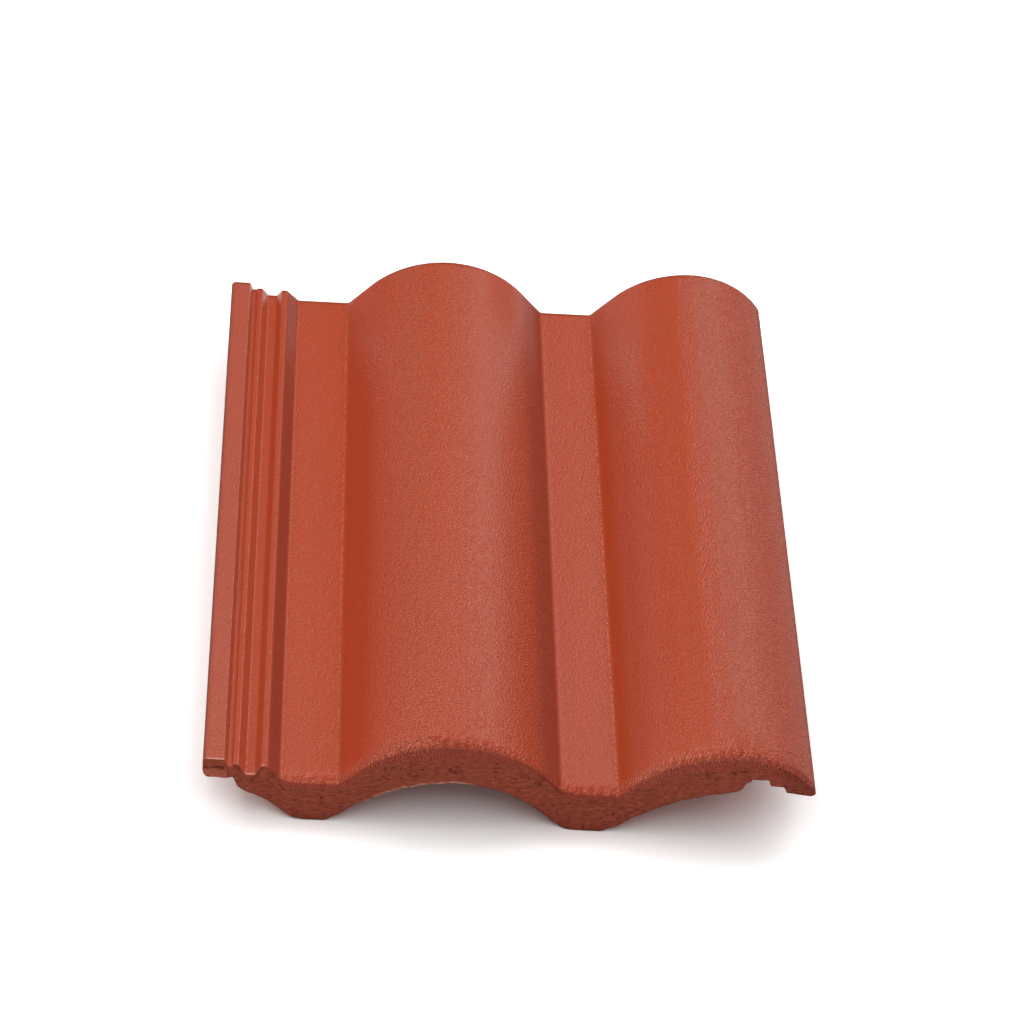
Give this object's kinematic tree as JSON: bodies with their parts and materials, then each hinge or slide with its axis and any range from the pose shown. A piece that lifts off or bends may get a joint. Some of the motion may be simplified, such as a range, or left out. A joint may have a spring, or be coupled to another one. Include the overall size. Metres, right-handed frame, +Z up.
{
  "type": "double-roll interlocking concrete roof tile",
  "caption": "Interlocking concrete roof tile with rounded rolls, flat pans, a ribbed side lock, an overlapping lip and hanging nibs.",
  "frame": {"origin": "centre of the bounding box in plan, on the level floor that the nose feet and nibs stand on", "axes": "+X across the tile towards the overlapping edge, +Y from the nose to the head, +Z up out of the weather side"},
  "size_m": [0.329, 0.421, 0.0655],
  "materials": {
    "concrete": "satin colour coat"
  },
  "bodies": {
    "root": {"roof_tile": "concrete"}
  },
  "joints": []
}
